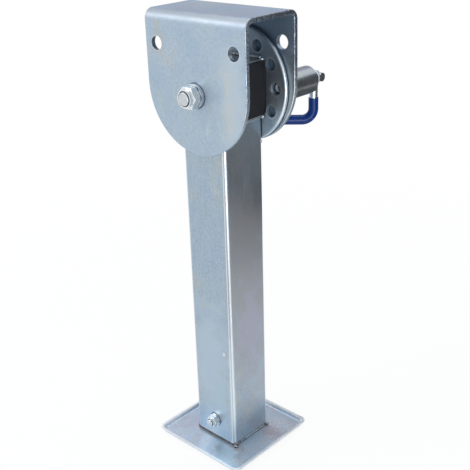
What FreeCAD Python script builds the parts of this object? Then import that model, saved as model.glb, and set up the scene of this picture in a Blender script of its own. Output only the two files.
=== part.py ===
import FreeCAD, Part
import Sketcher
import math
import os

# Trailer prop stand: a square leg with a foot that swings in a U bracket and is held by a
# spring pin in a ring of holes.
# Frame in millimetres: origin at the centre of the foot's underside, Z up the leg, Y along the
# pivot bolt with the index pin on the +Y side, X across the bracket.

doc = FreeCAD.newDocument("trailer_prop_stand")

# Driving dimensions
SIZES = {
    # Bracket
    "pivot_height": 428.0,
    "top_above_pivot": 82.0,
    "cheek_below_pivot": 63.0,
    "bracket_width": 140.0,
    "plate": 5.0,
    "bend_inside": 5.5,
    "cheek_edge": 0.8,
    "mount_hole": 15.0,
    "mount_edge": 16.0,
    "mount_drop": 34.0,
    # Leg, its head and the room beside them
    "leg_width": 60.0,
    "leg_wall": 3.0,
    "leg_corner": 4.0,
    "head_overhang": 3.0,
    "front_room": 2.6,
    "back_room": 0.4,
    "plug_depth": 13.0,
    "plug_slack": 0.1,
    "plug_flange": 3.0,
    "plug_side_margin": 0.8,
    "plug_top_margin": 1.8,
    # Index disc
    "disc_diameter": 126.0,
    "disc_thickness": 5.0,
    "disc_edge": 2.2,
    "ring_radius": 49.0,
    "index_hole": 13.0,
    "index_step": 30.0,
    "index_first": -30.0,
    "index_count": 9,
    # Pivot bolt
    "pivot_bolt": 14.0,
    "pivot_play": 0.05,
    "pivot_hole_slack": 0.2,
    "pivot_across_flats": 22.0,
    "pivot_head": 8.8,
    "pivot_nut": 9.2,
    "pivot_nut_collar": 3.2,
    "pivot_washer": 25.6,
    "pivot_washer_thickness": 4.2,
    "pivot_bolt_past_nut": 1.6,
    "washer_slack": 0.4,
    "sleeve_outside": 25.0,
    "sleeve_end_gap": 0.3,
    # Index pin, housing and spring
    "pin": 12.0,
    "pin_play": 0.05,
    "pin_standoff": 0.3,
    "pin_travel": 12.0,
    "pin_nose": 1.5,
    "pin_tail": 12.0,
    "pin_tail_bevel": 1.0,
    "pin_collar": 18.0,
    "pin_collar_thickness": 3.0,
    "housing_outside": 30.0,
    "housing_wall": 4.0,
    "housing_length": 43.5,
    "housing_rim": 0.8,
    "bush_thickness": 5.0,
    "bush_recess": 1.0,
    "seat_thickness": 2.0,
    "seat_gap": 0.3,
    "seat_slack": 0.5,
    "spring_wire": 2.0,
    "spring_diameter": 18.0,
    "spring_turns": 6.0,
    # Handle
    "handle_bar": 9.5,
    "handle_stub": 6.5,
    "handle_offset": 5.3,
    "handle_top_bend": 7.5,
    "handle_drop": 49.2,
    "handle_low_bend": 12.5,
    "handle_run": 40.0,
    "handle_rise": 1.5,
    "handle_turn": 45.0,
    "grip_wall": 0.75,
    "grip_top": 24.0,
    # Foot
    "foot_size": 131.0,
    "foot_base": 123.0,
    "foot_corner": 9.0,
    "foot_plate": 3.0,
    "foot_rim": 6.5,
    "leg_above_foot": 4.0,
    "spigot_slack": 0.2,
    "spigot_wall": 3.0,
    "spigot_height": 55.0,
    "foot_bolt_height": 28.8,
    "foot_bolt": 8.0,
    "foot_bolt_slack": 0.25,
    "foot_across_flats": 13.0,
    "foot_head": 5.3,
    "foot_nut": 6.0,
    "foot_nut_collar": 2.0,
    "foot_washer": 16.0,
    "foot_washer_thickness": 1.6,
    "foot_bolt_past_nut": 1.5,
    # Weld beads
    "weld": 4.0,
    "foot_bead": 3.0,
}

sheet = doc.addObject("Spreadsheet::Sheet", "sizes")
for row, (alias, value) in enumerate(SIZES.items(), start=1):
    sheet.set(f"A{row}", alias)
    sheet.set(f"B{row}", str(value))
    sheet.setAlias(f"B{row}", alias)
doc.recompute()


def size(alias):
    return float(sheet.get(alias))


# Places that several pieces share, as expressions on the sheet
HALF_LEG = "(sizes.leg_width / 2)"
FRONT_INSIDE = f"(-{HALF_LEG} - sizes.front_room)"
FRONT_FACE = f"({FRONT_INSIDE} - sizes.plate)"
DISC_BACK = f"({HALF_LEG} + sizes.disc_thickness)"
BACK_INSIDE = f"({DISC_BACK} + sizes.back_room)"
BACK_FACE = f"({BACK_INSIDE} + sizes.plate)"
CHEEK_MIDDLE = f"(({FRONT_FACE} + {BACK_FACE}) / 2)"
BRACKET_DEPTH = f"({BACK_FACE} - {FRONT_FACE})"
BRACKET_TOP = "(sizes.pivot_height + sizes.top_above_pivot)"
HEAD_BOTTOM = f"(sizes.pivot_height - {HALF_LEG})"
HEAD_LENGTH = "(sizes.leg_width + 2 * sizes.head_overhang)"
LEG_BOTTOM = "(sizes.foot_plate + sizes.leg_above_foot)"
HOUSING_END = f"({BACK_FACE} + sizes.housing_length)"
PIN_TIP = f"({DISC_BACK} + sizes.pin_standoff)"
COLLAR_FACE = f"({BACK_FACE} + sizes.pin_travel + sizes.seat_gap)"
SEAT_FACE = f"({COLLAR_FACE} + sizes.pin_collar_thickness)"
BUSH_END = f"({HOUSING_END} - sizes.bush_recess)"
BUSH_FACE = f"({BUSH_END} - sizes.bush_thickness)"
HANDLE_PLANE = f"({HOUSING_END} + sizes.pin_travel + sizes.seat_gap + sizes.handle_bar / 2)"


def value(expression):
    """The number an expression on the sheet stands for."""
    return float(sheet.evalExpression(expression))


def bind(thing, **expressions):
    for path, expression in expressions.items():
        thing.setExpression(path.replace("__", "."), expression)


def place(thing, **axes):
    for axis, expression in axes.items():
        thing.setExpression(f"Placement.Base.{axis}", expression)


# Sketch helpers
def new_body(name, **axes):
    body = doc.addObject("PartDesign::Body", name)
    body.Label = name
    place(body, **axes)
    return body


def new_sketch(body, name, role, offset=None):
    sketch = body.newObject("Sketcher::SketchObject", name)
    plane = [feature for feature in body.Origin.OriginFeatures if feature.Role == role][0]
    sketch.AttachmentSupport = [(plane, "")]
    sketch.MapMode = "FlatFace"
    if offset:
        sketch.setExpression("AttachmentOffset.Base.z", offset)
    return sketch


def constrain(sketch, name, expression, *constraint):
    index = sketch.addConstraint(Sketcher.Constraint(*constraint))
    sketch.renameConstraint(index, name)
    sketch.setExpression(f"Constraints.{name}", expression)


def circle(sketch, name, diameter, x=None, y=None):
    """A circle whose centre lies x and y from the sketch's origin."""
    centre = FreeCAD.Vector(value(x) if x else 0, value(y) if y else 0, 0)
    index = sketch.addGeometry(Part.Circle(centre, FreeCAD.Vector(0, 0, 1), value(diameter) / 2))
    constrain(sketch, f"{name}_diameter", diameter, "Diameter", index, value(diameter))
    if x is None and y is None:
        sketch.addConstraint(Sketcher.Constraint("Coincident", index, 3, -1, 1))
        return index
    for kind, axis, distance in (("DistanceX", "x", x), ("DistanceY", "y", y)):
        if distance is None:
            sketch.addConstraint(Sketcher.Constraint("PointOnObject", index, 3, -1 if axis == "y" else -2))
        else:
            constrain(sketch, f"{name}_{axis}", distance, kind, -1, 1, index, 3, value(distance))
    return index


def rounded_rectangle(sketch, name, width, height, corner):
    """A rectangle with round corners, centred on the sketch's origin."""
    half_x = value(width) / 2
    half_y = value(height) / 2
    r = value(corner)
    x = half_x - r
    y = half_y - r
    ends = [
        ((-x, -half_y), (x, -half_y)),
        ((half_x, -y), (half_x, y)),
        ((x, half_y), (-x, half_y)),
        ((-half_x, y), (-half_x, -y)),
    ]
    lines = [
        sketch.addGeometry(Part.LineSegment(FreeCAD.Vector(*a, 0), FreeCAD.Vector(*b, 0)))
        for a, b in ends
    ]
    arcs = []
    for turn, centre in enumerate([(x, -y), (x, y), (-x, y), (-x, -y)]):
        ring = Part.Circle(FreeCAD.Vector(*centre, 0), FreeCAD.Vector(0, 0, 1), r)
        start = math.radians(-90 + 90 * turn)
        arcs.append(sketch.addGeometry(Part.ArcOfCircle(ring, start, start + math.pi / 2)))
    for turn in range(4):
        sketch.addConstraint(Sketcher.Constraint("Tangent", lines[turn], 2, arcs[turn], 1))
        sketch.addConstraint(Sketcher.Constraint("Tangent", arcs[turn], 2, lines[(turn + 1) % 4], 1))
    for flat in (lines[0], lines[2]):
        sketch.addConstraint(Sketcher.Constraint("Horizontal", flat))
    for upright in (lines[1], lines[3]):
        sketch.addConstraint(Sketcher.Constraint("Vertical", upright))
    for arc in arcs[1:]:
        sketch.addConstraint(Sketcher.Constraint("Equal", arcs[0], arc))
    sketch.addConstraint(Sketcher.Constraint("Symmetric", arcs[0], 3, arcs[2], 3, -1, 1))
    constrain(sketch, f"{name}_corner", corner, "Radius", arcs[0], r)
    constrain(sketch, f"{name}_width", width, "DistanceX", lines[3], 1, lines[1], 1, 2 * half_x)
    constrain(sketch, f"{name}_height", height, "DistanceY", lines[0], 1, lines[2], 1, 2 * half_y)


def polygon(sketch, points):
    """A closed outline of straight lines through points given as pairs of expressions."""
    places = [FreeCAD.Vector(value(x), value(y), 0) for x, y in points]
    lines = []
    for start, end in zip(places, places[1:] + places[:1]):
        lines.append(sketch.addGeometry(Part.LineSegment(start, end)))
    for index, line in enumerate(lines):
        sketch.addConstraint(Sketcher.Constraint("Coincident", lines[index - 1], 2, line, 1))
    for index, (line, (x, y)) in enumerate(zip(lines, points)):
        for kind, axis, distance in (("DistanceX", "x", x), ("DistanceY", "y", y)):
            constrain(sketch, f"p{index}{axis}", distance, kind, -1, 1, line, 1, value(distance))
    return lines


def pad(body, sketch, name, length, side="One side", reverse=False):
    feature = body.newObject("PartDesign::Pad", name)
    feature.Profile = sketch
    feature.SideType = side
    feature.Reversed = reverse
    bind(feature, Length=length)
    return feature


def pocket(body, sketch, name, length=None, side="One side", reverse=False):
    feature = body.newObject("PartDesign::Pocket", name)
    feature.Profile = sketch
    feature.SideType = side
    feature.Reversed = reverse
    if length:
        bind(feature, Length=length)
    else:
        feature.Type = "ThroughAll"
    return feature


def turned(body, name, points):
    """A solid of revolution about Y: points are pairs of radius and place along Y."""
    sketch = new_sketch(body, f"{name}_profile", "XY_Plane")
    polygon(sketch, points)
    feature = body.newObject("PartDesign::Revolution", name)
    feature.Profile = sketch
    feature.ReferenceAxis = (sketch, ["V_Axis"])
    feature.Angle = 360
    return feature


def flats(body, name, across, start, length):
    """Cuts a turned head down to a hexagon, from the place start toward +Y."""
    sketch = new_sketch(body, f"{name}_outline", "XZ_Plane", f"-({start})")
    ring = sketch.addGeometry(
        Part.Circle(FreeCAD.Vector(0, 0, 0), FreeCAD.Vector(0, 0, 1), value(across) / 2), True
    )
    sketch.addConstraint(Sketcher.Constraint("Coincident", ring, 3, -1, 1))
    constrain(sketch, "across", across, "Diameter", ring, value(across))
    corner = value(across) / math.sqrt(3)
    corners = [
        FreeCAD.Vector(corner * math.cos(math.radians(a)), corner * math.sin(math.radians(a)), 0)
        for a in range(0, 360, 60)
    ]
    sides = [
        sketch.addGeometry(Part.LineSegment(start_at, end_at))
        for start_at, end_at in zip(corners, corners[1:] + corners[:1])
    ]
    for index, side in enumerate(sides):
        sketch.addConstraint(Sketcher.Constraint("Coincident", sides[index - 1], 2, side, 1))
        sketch.addConstraint(Sketcher.Constraint("Tangent", side, ring))
    for side in sides[1:]:
        sketch.addConstraint(Sketcher.Constraint("Equal", sides[0], side))
    sketch.addConstraint(Sketcher.Constraint("Horizontal", sides[1]))
    circle(sketch, "round", f"{across} * 1.4")
    return pocket(body, sketch, name, length)


def edges(feature, test):
    """Names of the edges whose bounding box and shape pass a test."""
    return [
        f"Edge{number}"
        for number, edge in enumerate(feature.Shape.Edges, start=1)
        if test(edge, edge.BoundBox)
    ]


def fillet(body, name, base, names, radius):
    feature = body.newObject("PartDesign::Fillet", name)
    feature.Base = (base, names)
    bind(feature, Radius=radius)
    return feature


def group(name, *members):
    compound = doc.addObject("Part::Compound", name)
    compound.Label = name
    compound.Links = list(members)
    return compound


def mirrored(name, source):
    """The same solid on the other side of the plane X = 0."""
    twin = doc.addObject("Part::Mirroring", name)
    twin.Source = source
    twin.Normal = FreeCAD.Vector(1, 0, 0)
    return twin


def near(a, b):
    return abs(a - b) < 1e-4


# Mounting bracket: a strip folded into a U, its cheeks ending in a half round
def make_bracket():
    body = new_body("mounting_bracket", y=CHEEK_MIDDLE)
    top = BRACKET_TOP
    bottom = "(sizes.pivot_height - sizes.cheek_below_pivot)"
    half_depth = f"({BRACKET_DEPTH} / 2)"
    half_gap = f"({half_depth} - sizes.plate)"
    outer = new_sketch(body, "strip_outside", "YZ_Plane")
    polygon(outer, [
        (f"-{half_depth}", bottom), (half_depth, bottom), (half_depth, top), (f"-{half_depth}", top),
    ])
    pad(body, outer, "strip", "sizes.bracket_width", side="Symmetric")
    inner = new_sketch(body, "strip_inside", "YZ_Plane")
    under = f"({bottom} - sizes.plate)"
    ceiling = f"({top} - sizes.plate)"
    polygon(inner, [
        (f"-{half_gap}", under), (half_gap, under), (half_gap, ceiling), (f"-{half_gap}", ceiling),
    ])
    gap = pocket(body, inner, "gap", side="Symmetric")
    doc.recompute()
    high = value(top)
    outside = edges(gap, lambda e, b: near(b.ZMin, high) and near(b.ZMax, high) and b.XLength > 1)
    bend = fillet(body, "bend_outside", gap, outside, "sizes.bend_inside + sizes.plate")
    doc.recompute()
    low = value(ceiling)
    inside = edges(bend, lambda e, b: near(b.ZMin, low) and near(b.ZMax, low) and b.XLength > 1)
    bend = fillet(body, "bend_inside", bend, inside, "sizes.bend_inside")
    doc.recompute()

    round_end = new_sketch(body, "round_end", "XZ_Plane")
    half = "(sizes.bracket_width / 2)"
    centre = f"({bottom} + {half})"
    past = f"({half} + sizes.plate)"
    r = value(half)
    ring = Part.Circle(FreeCAD.Vector(0, value(centre), 0), FreeCAD.Vector(0, 0, 1), r)
    arc = round_end.addGeometry(Part.ArcOfCircle(ring, math.pi, 2 * math.pi))
    round_end.addConstraint(Sketcher.Constraint("PointOnObject", arc, 3, -2))
    constrain(round_end, "centre", centre, "DistanceY", -1, 1, arc, 3, value(centre))
    constrain(round_end, "radius", half, "Radius", arc, r)
    corners = [(half, centre), (past, centre), (past, under), (f"-{past}", under),
               (f"-{past}", centre), (f"-{half}", centre)]
    spots = [FreeCAD.Vector(value(x), value(y), 0) for x, y in corners]
    lines = [round_end.addGeometry(Part.LineSegment(a, b)) for a, b in zip(spots, spots[1:])]
    for before, after in zip(lines, lines[1:]):
        round_end.addConstraint(Sketcher.Constraint("Coincident", before, 2, after, 1))
    round_end.addConstraint(Sketcher.Constraint("Coincident", arc, 2, lines[0], 1))
    round_end.addConstraint(Sketcher.Constraint("Coincident", lines[-1], 2, arc, 1))
    for flat in (lines[0], lines[2], lines[4]):
        round_end.addConstraint(Sketcher.Constraint("Horizontal", flat))
    for upright in (lines[1], lines[3]):
        round_end.addConstraint(Sketcher.Constraint("Vertical", upright))
    round_end.addConstraint(Sketcher.Constraint("PointOnObject", arc, 3, lines[0]))
    round_end.addConstraint(Sketcher.Constraint("PointOnObject", arc, 3, lines[4]))
    constrain(round_end, "right", past, "DistanceX", -1, 1, lines[0], 2, value(past))
    constrain(round_end, "left", past, "DistanceX", lines[3], 1, -1, 1, value(past))
    constrain(round_end, "under", under, "DistanceY", -1, 1, lines[2], 1, value(under))
    ends = pocket(body, round_end, "round_ends", side="Symmetric")
    doc.recompute()

    faces = [value(f"-{half_depth}"), value(half_depth), value(f"-{half_gap}"), value(half_gap)]
    shoulder = value(top) - value("sizes.bend_inside + sizes.plate")

    def rim(edge, box):
        flat = any(near(box.YMin, face) and near(box.YMax, face) for face in faces)
        return flat and box.ZMax < shoulder + 0.01 and box.ZLength > 1

    eased = fillet(body, "eased_rims", ends, edges(ends, rim), "sizes.cheek_edge")
    doc.recompute()

    holes = new_sketch(body, "holes", "XZ_Plane")
    level = f"({top} - sizes.mount_drop)"
    aside = f"({half} - sizes.mount_edge)"
    circle(holes, "left", "sizes.mount_hole", f"-{aside}", level)
    circle(holes, "right", "sizes.mount_hole", aside, level)
    circle(holes, "pivot", "sizes.pivot_bolt + 2 * sizes.pivot_hole_slack", None, "sizes.pivot_height")
    pocket(body, holes, "through_holes", side="Symmetric")
    bore = new_sketch(body, "pin_bore_outline", "XZ_Plane")
    circle(bore, "bore", "sizes.pin + 2 * sizes.pin_play", "sizes.ring_radius", "sizes.pivot_height")
    pocket(body, bore, "pin_bore")
    return body


# Bolt, lock nut, plastic ring and washers for one cross bolt, named after what it holds
def make_fasteners(kind, front_seat, back_seat, height):
    bolt = f"(sizes.{kind}_bolt / 2)"
    across = f"sizes.{kind}_across_flats"
    corner = f"({across} / sqrt(3))"
    edge = f"({across} * 0.475)"
    slope = f"(({corner} - {edge}) / sqrt(3))"
    tip = f"({bolt} * 0.12)"
    thick = f"sizes.{kind}_washer_thickness"
    head_seat = f"({back_seat} + {thick})"
    head_end = f"({head_seat} + sizes.{kind}_head)"
    nut_seat = f"({front_seat} - {thick})"
    nut_end = f"({nut_seat} - sizes.{kind}_nut)"
    collar_end = f"({nut_end} - sizes.{kind}_nut_collar)"
    bolt_end = f"({collar_end} - sizes.{kind}_bolt_past_nut)"

    screw = new_body(f"{kind}_bolt", z=height)
    turned(screw, f"{kind}_bolt_round", [
        ("0", bolt_end), (f"({bolt} - {tip})", bolt_end), (bolt, f"({bolt_end} + {tip})"),
        (bolt, head_seat), (corner, head_seat), (corner, f"({head_end} - {slope})"),
        (edge, head_end), ("0", head_end),
    ])
    flats(screw, f"{kind}_bolt_flats", across, head_seat, f"sizes.{kind}_head")

    collar = f"({across} * 0.43)"
    ring = f"(({bolt} + {collar}) / 2)"
    lip = f"(sizes.{kind}_nut_collar * 0.15)"
    nut = new_body(f"{kind}_lock_nut", z=height)
    turned(nut, f"{kind}_nut_round", [
        (bolt, nut_seat), (edge, nut_seat), (corner, f"({nut_seat} - {slope})"),
        (corner, f"({nut_end} + {slope})"), (edge, nut_end), (collar, nut_end),
        (collar, collar_end), (ring, collar_end), (ring, nut_end), (bolt, nut_end),
    ])
    flats(nut, f"{kind}_nut_flats", across, nut_end, f"sizes.{kind}_nut")
    insert = new_body(f"{kind}_nut_ring", z=height)
    turned(insert, f"{kind}_insert", [
        (bolt, nut_end), (ring, nut_end), (ring, f"({collar_end} + {lip})"),
        (bolt, f"({collar_end} + {lip})"),
    ])

    hole = f"({bolt} + sizes.washer_slack)"
    washers = []
    for side, seat, away in (("front", front_seat, "-"), ("back", back_seat, "+")):
        washer = new_body(f"{kind}_{side}_washer", z=height)
        turned(washer, f"{kind}_{side}_disc", [
            (hole, seat), (f"(sizes.{kind}_washer / 2)", seat),
            (f"(sizes.{kind}_washer / 2)", f"({seat} {away} {thick})"),
            (hole, f"({seat} {away} {thick})"),
        ])
        washers.append(washer)
    return [screw, nut, insert, group(f"{kind}_washers", *washers)]


# Spring housing on the far cheek
def make_housing():
    outside = "(sizes.housing_outside / 2)"
    inside = f"({outside} - sizes.housing_wall)"
    tube = new_body("pin_housing", x="sizes.ring_radius", z="sizes.pivot_height")
    turned(tube, "housing_tube", [
        (inside, BACK_FACE), (outside, BACK_FACE), (outside, f"({HOUSING_END} - sizes.housing_rim)"),
        (f"({outside} - sizes.housing_rim)", HOUSING_END), (inside, HOUSING_END),
    ])
    bead = new_body("housing_weld", x="sizes.ring_radius", z="sizes.pivot_height")
    turned(bead, "housing_bead", [
        (outside, BACK_FACE), (f"({outside} + sizes.weld)", BACK_FACE),
        (f"({outside} + sizes.weld * 0.7)", f"({BACK_FACE} + sizes.weld * 0.45)"),
        (f"({outside} + sizes.weld * 0.3)", f"({BACK_FACE} + sizes.weld * 0.8)"),
        (outside, f"({BACK_FACE} + sizes.weld)"),
    ])
    bush = new_body("housing_bush", x="sizes.ring_radius", z="sizes.pivot_height")
    bore = "(sizes.pin_tail / 2 + sizes.pin_play)"
    turned(bush, "bush", [(bore, BUSH_FACE), (inside, BUSH_FACE), (inside, BUSH_END), (bore, BUSH_END)])
    return [tube, bead, bush]


# Index pin and the washer its spring pushes on
def make_pin():
    pin = "(sizes.pin / 2)"
    tail = "(sizes.pin_tail / 2)"
    collar = "(sizes.pin_collar / 2)"
    tail_end = f"({HANDLE_PLANE} - sizes.handle_bar / 2)"
    body = new_body("index_pin", x="sizes.ring_radius", z="sizes.pivot_height")
    turned(body, "pin_round", [
        ("0", PIN_TIP), (f"({pin} - sizes.pin_nose)", PIN_TIP), (pin, f"({PIN_TIP} + sizes.pin_nose)"),
        (pin, COLLAR_FACE), (collar, COLLAR_FACE), (collar, SEAT_FACE), (tail, SEAT_FACE),
        (tail, f"({tail_end} - sizes.pin_tail_bevel)"), (f"({tail} - sizes.pin_tail_bevel)", tail_end),
        ("0", tail_end),
    ])
    seat = new_body("spring_seat", x="sizes.ring_radius", z="sizes.pivot_height")
    inner = f"({tail} + sizes.pin_play)"
    outer = "(sizes.housing_outside / 2 - sizes.housing_wall - sizes.seat_slack)"
    start = f"({SEAT_FACE} + sizes.pin_play)"
    end = f"({start} + sizes.seat_thickness)"
    turned(seat, "seat_ring", [(inner, start), (outer, start), (outer, end), (inner, end)])

    # Spring, shown as it is squeezed between its washer and the bush with the pin drawn back
    first = f"({end} + sizes.seat_gap / 2 + sizes.spring_wire / 2)"
    last = f"({BUSH_FACE} - sizes.seat_gap / 2 - sizes.spring_wire / 2)"
    coil = doc.addObject("Part::Helix", "spring_path")
    bind(coil, Height=f"{last} - {first}", Pitch=f"({last} - {first}) / sizes.spring_turns",
         Radius="sizes.spring_diameter / 2")
    coil.Placement.Rotation = FreeCAD.Rotation(FreeCAD.Vector(1, 0, 0), -90)
    place(coil, x="sizes.ring_radius", y=first, z="sizes.pivot_height")
    wire = doc.addObject("Part::Circle", "spring_wire")
    bind(wire, Radius="sizes.spring_wire / 2")
    place(wire, x="sizes.ring_radius + sizes.spring_diameter / 2", y=first, z="sizes.pivot_height")
    spring = doc.addObject("Part::Sweep", "pin_spring")
    spring.Label = "pin_spring"
    spring.Sections = [wire]
    spring.Spine = (coil, ["Edge1"])
    spring.Solid = True
    spring.Frenet = True
    return [body, seat, spring]


def rounded_path(points, radii):
    """A wire through points, each inner corner turned with the radius given for it."""
    edges_made = []
    start = points[0]
    for before, corner, after, radius in zip(points, points[1:], points[2:], radii):
        into = (corner - before).normalize()
        out = (after - corner).normalize()
        half = (math.pi - into.getAngle(out)) / 2
        reach = radius / math.tan(half)
        first = corner - into * reach
        last = corner + out * reach
        middle = (out - into).normalize()
        centre = corner + middle * (radius / math.sin(half))
        edges_made.append(Part.LineSegment(start, first).toShape())
        edges_made.append(Part.Arc(first, centre - middle * radius, last).toShape())
        start = last
    edges_made.append(Part.LineSegment(start, points[-1]).toShape())
    return Part.Wire(edges_made)


def round_bar(path, start, direction, radius):
    section = Part.Wire(Part.Circle(start, direction, radius).toShape())
    return path.makePipeShell([section], True, True)


# Handle: a round bar across the pin's end, bent down and then back beside the housing
def make_handle():
    centre = FreeCAD.Vector(size("ring_radius"), value(HANDLE_PLANE), size("pivot_height"))
    across = FreeCAD.Vector(-1, 0, 0)
    down = FreeCAD.Vector(0, 0, -1)
    turn = math.radians(size("handle_turn"))
    run = FreeCAD.Vector(-math.cos(turn), -math.sin(turn), 0) * size("handle_run")
    stub = centre - across * size("handle_stub")
    top = centre + across * size("handle_offset")
    low = top + down * size("handle_drop")
    end = low + run - down * size("handle_rise")
    back = (end - low).normalize()
    bar = size("handle_bar") / 2
    path = rounded_path([stub, top, low, end], [size("handle_top_bend"), size("handle_low_bend")])
    handle = doc.addObject("Part::Feature", "pull_handle")
    handle.Label = "pull_handle"
    handle.Shape = round_bar(path, stub, across, bar)
    handle.Placement = FreeCAD.Placement()

    wall = size("grip_wall")
    grip_start = top + down * size("grip_top")
    cover = rounded_path([grip_start, low, end + back * wall], [size("handle_low_bend")])
    skin = round_bar(cover, grip_start, down, bar + wall)
    tail = [e for e in skin.Edges if e.BoundBox.Center.distanceToPoint(end + back * wall) < 0.01]
    skin = skin.makeFillet(wall * 0.9, tail[:1])
    grip = doc.addObject("Part::Feature", "handle_grip")
    grip.Label = "handle_grip"
    grip.Shape = skin.cut(handle.Shape)
    grip.Placement = FreeCAD.Placement()

    bead = doc.addObject("Part::Cylinder", "handle_bead")
    bind(bead, Radius="sizes.pin_tail / 2 - sizes.pin_tail_bevel", Height="sizes.handle_bar * 0.35")
    bead.Placement.Rotation = FreeCAD.Rotation(FreeCAD.Vector(1, 0, 0), -90)
    place(bead, x="sizes.ring_radius", y=f"{HANDLE_PLANE} - sizes.handle_bar / 2", z="sizes.pivot_height")
    weld = doc.addObject("Part::Cut", "handle_weld")
    weld.Label = "handle_weld"
    weld.Base = bead
    weld.Tool = handle
    return [handle, grip, weld]


INNER_CORNER = "max(sizes.leg_corner - sizes.leg_wall; 0.5)"
INNER_WIDTH = "(sizes.leg_width - 2 * sizes.leg_wall)"


# Leg and the short tube across its top
def make_leg():
    leg = new_body("leg_tube")
    section = new_sketch(leg, "leg_section", "XY_Plane", LEG_BOTTOM)
    rounded_rectangle(section, "outside", "sizes.leg_width", "sizes.leg_width", "sizes.leg_corner")
    rounded_rectangle(section, "inside", INNER_WIDTH, INNER_WIDTH, INNER_CORNER)
    pad(leg, section, "leg_length", f"{HEAD_BOTTOM} - {LEG_BOTTOM}")
    cross = new_sketch(leg, "leg_bolt_hole", "XZ_Plane")
    circle(cross, "hole", "sizes.foot_bolt + 2 * sizes.foot_bolt_slack", None, "sizes.foot_bolt_height")
    pocket(leg, cross, "leg_cross_hole", side="Symmetric")

    head = new_body("head_tube", z="sizes.pivot_height")
    section = new_sketch(head, "head_section", "YZ_Plane")
    rounded_rectangle(section, "outside", "sizes.leg_width", "sizes.leg_width", "sizes.leg_corner")
    rounded_rectangle(section, "inside", INNER_WIDTH, INNER_WIDTH, INNER_CORNER)
    pad(head, section, "head_width", HEAD_LENGTH, side="Symmetric")
    bore = new_sketch(head, "head_bore_outline", "XZ_Plane")
    circle(bore, "bore", "sizes.sleeve_outside")
    pocket(head, bore, "head_bore", side="Symmetric")

    # Plug: a cup pushed into the tube's end, with a flange that covers the tube's wall
    plug = new_body("end_plug", z="sizes.pivot_height")
    width = f"({INNER_WIDTH} - 2 * sizes.plug_slack)"
    tube_end = f"({HEAD_LENGTH} / 2)"
    inner_end = f"({tube_end} - sizes.plug_depth)"
    outline = new_sketch(plug, "plug_outline", "YZ_Plane", inner_end)
    rounded_rectangle(outline, "plug", width, width, INNER_CORNER)
    pad(plug, outline, "plug_block", "sizes.plug_depth")
    hollow = new_sketch(plug, "plug_hollow_outline", "YZ_Plane", inner_end)
    cup = f"({width} - 2 * sizes.leg_wall)"
    rounded_rectangle(hollow, "hollow", cup, cup, INNER_CORNER)
    pocket(plug, hollow, "plug_hollow", "sizes.plug_depth - sizes.leg_wall", reverse=True)
    cover = new_sketch(plug, "plug_flange_outline", "YZ_Plane", tube_end)
    across = "(sizes.leg_width - 2 * sizes.plug_side_margin)"
    tall = "(sizes.leg_width - 2 * sizes.plug_top_margin)"
    rounded_rectangle(cover, "flange", across, tall, "(sizes.leg_corner - sizes.plug_side_margin)")
    pad(plug, cover, "plug_flange", "sizes.plug_flange")
    plugs = group("head_plugs", plug, mirrored("end_plug_twin", plug))

    sleeve = new_body("pivot_sleeve", z="sizes.pivot_height")
    bore_radius = "(sizes.pivot_bolt / 2 + sizes.pivot_play)"
    front = f"({FRONT_INSIDE} + sizes.sleeve_end_gap)"
    back = f"({BACK_INSIDE} - sizes.sleeve_end_gap)"
    outside = "(sizes.sleeve_outside / 2)"
    turned(sleeve, "sleeve", [(bore_radius, front), (outside, front), (outside, back), (bore_radius, back)])

    # Beads under the overhanging ends of the head
    bead = new_body("head_bead")
    throat = "min(sizes.weld; sizes.head_overhang)"
    outline = new_sketch(bead, "head_bead_outline", "XZ_Plane")
    polygon(outline, [
        (HALF_LEG, HEAD_BOTTOM), (HALF_LEG, f"({HEAD_BOTTOM} - {throat})"),
        (f"({HALF_LEG} + {throat} * 0.6)", f"({HEAD_BOTTOM} - {throat} * 0.6)"),
        (f"({HALF_LEG} + {throat})", HEAD_BOTTOM),
    ])
    pad(bead, outline, "head_bead_length", "sizes.leg_width - 2 * sizes.leg_corner", side="Symmetric")
    beads = group("head_weld", bead, mirrored("head_bead_twin", bead))
    return [leg, head, plugs, sleeve, beads]


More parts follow.
